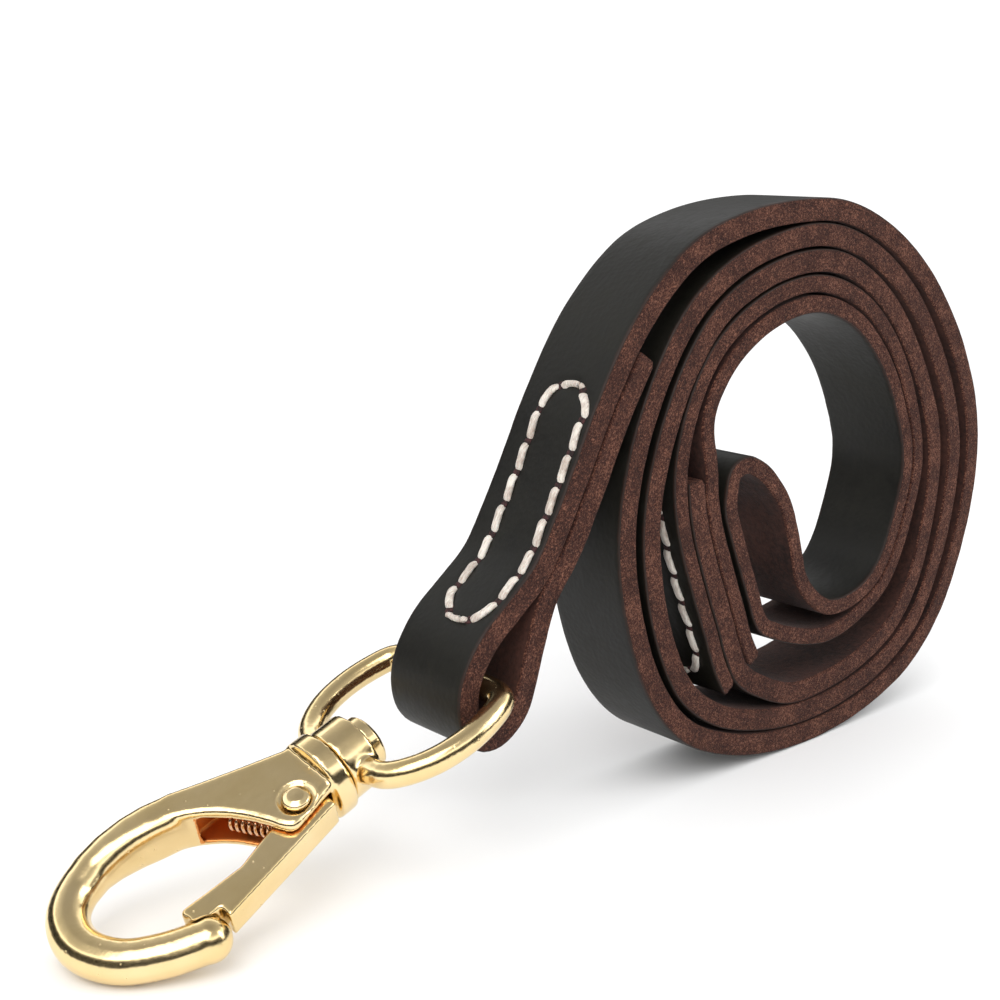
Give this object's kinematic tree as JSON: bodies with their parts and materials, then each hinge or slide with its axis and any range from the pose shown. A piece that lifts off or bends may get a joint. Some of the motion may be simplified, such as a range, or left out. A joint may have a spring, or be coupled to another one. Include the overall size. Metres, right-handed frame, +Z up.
{
  "type": "dog training leash",
  "caption": "Flat leather leash wound into a coil standing on its rim, with a sewn hand loop inside and a swivel snap hook on a ring at its outer end.",
  "frame": {"origin": "middle of the footprint of the whole leash, on the ground that the coil's rim and the hook's bow stand on", "axes": "+Z up; +X from the hook along the leash to the coil, in the plane of the coil; +Y along the coil's axis, away from the side that shows the winding clockwise inwards from the hook"},
  "size_m": [0.2194, 0.039, 0.1131],
  "materials": {
    "strap_leather": "dark waxed grain, satin, with raw reddish brown cut edges",
    "handle_leather": "dark waxed grain, satin, with raw reddish brown cut edges",
    "thread": "waxed off-white thread",
    "gold_plate": "polished pale gold plating",
    "spring_wire": "bright coppered spring wire"
  },
  "bodies": {
    "strap": {"leash_strap": "strap_leather", "handle_strap": "handle_leather", "hook_seam_front": "thread", "hook_seam_back": "thread", "handle_seam_front": "thread", "handle_seam_back": "thread"},
    "ring": {"swivel_ring": "gold_plate"},
    "hook": {"hook_body": "gold_plate", "swivel_stud": "gold_plate", "gate_rivet": "gold_plate", "gate_spring": "spring_wire"},
    "gate": {"gate": "gold_plate"}
  },
  "joints": [
    {"name": "ring_tilt", "type": "hinge", "parent": "strap", "child": "ring", "pos_m": [-0.03547, 0, 0.032], "axis": [0, 1, 0], "range_deg": [-60, 70]},
    {"name": "hook_swivel", "type": "hinge", "parent": "ring", "child": "hook", "pos_m": [-0.05855, 0, 0.02267], "axis": [0.9271, 0, 0.3747], "continuous": true},
    {"name": "gate_pivot", "type": "hinge", "parent": "hook", "child": "gate", "pos_m": [-0.06983, -0.00333, 0.01694], "axis": [0.3564, 0.309, -0.8818], "range_deg": [0, 25], "stiffness_Nm_per_rad": 0.15, "springref_deg": -28.65, "deforming": ["gate_spring"]}
  ]
}
